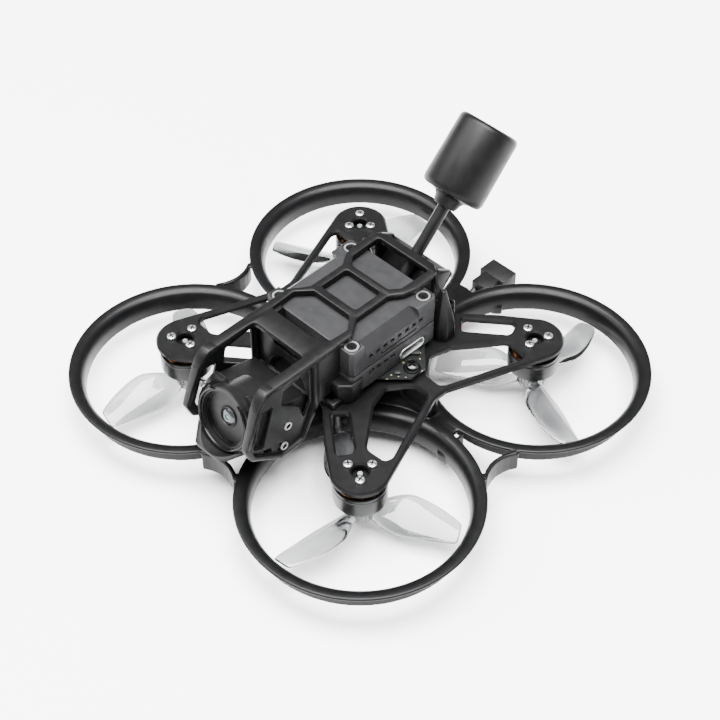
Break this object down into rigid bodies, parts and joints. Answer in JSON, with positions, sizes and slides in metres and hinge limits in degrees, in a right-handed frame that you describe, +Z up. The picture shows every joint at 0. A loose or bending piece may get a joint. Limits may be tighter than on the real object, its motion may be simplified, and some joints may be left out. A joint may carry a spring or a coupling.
{
  "type": "fpv racing drone",
  "caption": "Small ducted racing drone with motors hung under a spider deck, a tilting camera in a cage, a video unit, a rear whip antenna and a short battery lead",
  "frame": {"origin": "On the ground, midway between the four motor axes", "axes": "+Z up, -Y towards the camera at the front, +X towards the drone's left side"},
  "size_m": [0.1256, 0.1256, 0.0689],
  "materials": {
    "black_moulding": "satin injection-moulded black plastic",
    "deck_moulding": "satin black plastic with chamfered edges",
    "dark_aluminium": "bead-blasted, black-anodised aluminium",
    "camera_plastic": "fine-grained dark plastic",
    "bell_metal": "turned, black-anodised aluminium",
    "steel": "bright nickel-plated steel",
    "copper": "enamelled copper wire",
    "clear_polycarbonate": "clear moulded polycarbonate",
    "lens": "coated camera glass",
    "rubber": "soft matte black rubber",
    "circuit_board": "dark solder-masked circuit board",
    "red_silicone": "satin red silicone lead",
    "black_silicone": "satin black silicone lead"
  },
  "bodies": {
    "airframe": {"duct_front_left": "black_moulding", "duct_front_right": "black_moulding", "duct_rear_left": "black_moulding", "duct_rear_right": "black_moulding", "lower_body": "black_moulding", "battery_pad": "rubber", "motor_deck": "deck_moulding", "motor_base_front_left": "bell_metal", "windings_front_left": "copper", "motor_base_front_right": "bell_metal", "windings_front_right": "copper", "motor_base_rear_left": "bell_metal", "windings_rear_left": "copper", "motor_base_rear_right": "bell_metal", "windings_rear_right": "copper", "flight_controller": "circuit_board", "board_damper_left": "rubber", "board_screw_left": "steel", "board_damper_right": "rubber", "board_screw_right": "steel", "board_damper_front": "rubber", "board_screw_front": "steel", "board_damper_rear": "rubber", "board_screw_rear": "steel", "vtx_housing": "dark_aluminium", "vtx_board": "circuit_board", "usb_port": "steel", "vtx_cover": "dark_aluminium", "vtx_screw_front_left": "steel", "vtx_screw_front_right": "steel", "vtx_screw_rear_left": "steel", "vtx_screw_rear_right": "steel", "bracket": "black_moulding", "antenna_stem": "rubber", "antenna_head": "rubber", "lead_grommet": "rubber", "battery_plug": "black_moulding", "lead_red": "red_silicone", "lead_black": "black_silicone"},
    "rotor_front_left": {"motor_bell_front_left": "bell_metal", "motor_shaft_front_left": "steel", "propeller_front_left": "clear_polycarbonate"},
    "rotor_front_right": {"motor_bell_front_right": "bell_metal", "motor_shaft_front_right": "steel", "propeller_front_right": "clear_polycarbonate"},
    "rotor_rear_left": {"motor_bell_rear_left": "bell_metal", "motor_shaft_rear_left": "steel", "propeller_rear_left": "clear_polycarbonate"},
    "rotor_rear_right": {"motor_bell_rear_right": "bell_metal", "motor_shaft_rear_right": "steel", "propeller_rear_right": "clear_polycarbonate"},
    "camera": {"camera_body": "camera_plastic", "lens_ring": "camera_plastic", "lens_glass": "lens", "camera_screw_upper_left": "steel", "camera_screw_upper_right": "steel", "camera_screw_lower_left": "steel", "camera_screw_lower_right": "steel"},
    "button": {"link_button": "rubber"}
  },
  "joints": [
    {"name": "spin_front_left", "type": "hinge", "parent": "airframe", "child": "rotor_front_left", "pos_m": [0.03182, -0.03182, 0.0145], "axis": [0, 0, 1], "continuous": true},
    {"name": "spin_front_right", "type": "hinge", "parent": "airframe", "child": "rotor_front_right", "pos_m": [-0.03182, -0.03182, 0.0145], "axis": [0, 0, 1], "continuous": true},
    {"name": "spin_rear_left", "type": "hinge", "parent": "airframe", "child": "rotor_rear_left", "pos_m": [0.03182, 0.03182, 0.0145], "axis": [0, 0, 1], "continuous": true},
    {"name": "spin_rear_right", "type": "hinge", "parent": "airframe", "child": "rotor_rear_right", "pos_m": [-0.03182, 0.03182, 0.0145], "axis": [0, 0, 1], "continuous": true},
    {"name": "camera_tilt", "type": "hinge", "parent": "airframe", "child": "camera", "pos_m": [0, -0.03554, 0.02383], "axis": [-1, 0, 0], "range_deg": [-10, 10]},
    {"name": "button_press", "type": "slide", "parent": "airframe", "child": "button", "axis": [-1, 0, 0], "range_m": [0, 0.0004], "stiffness_N_per_m": 2000, "springref_m": -0.0002}
  ]
}
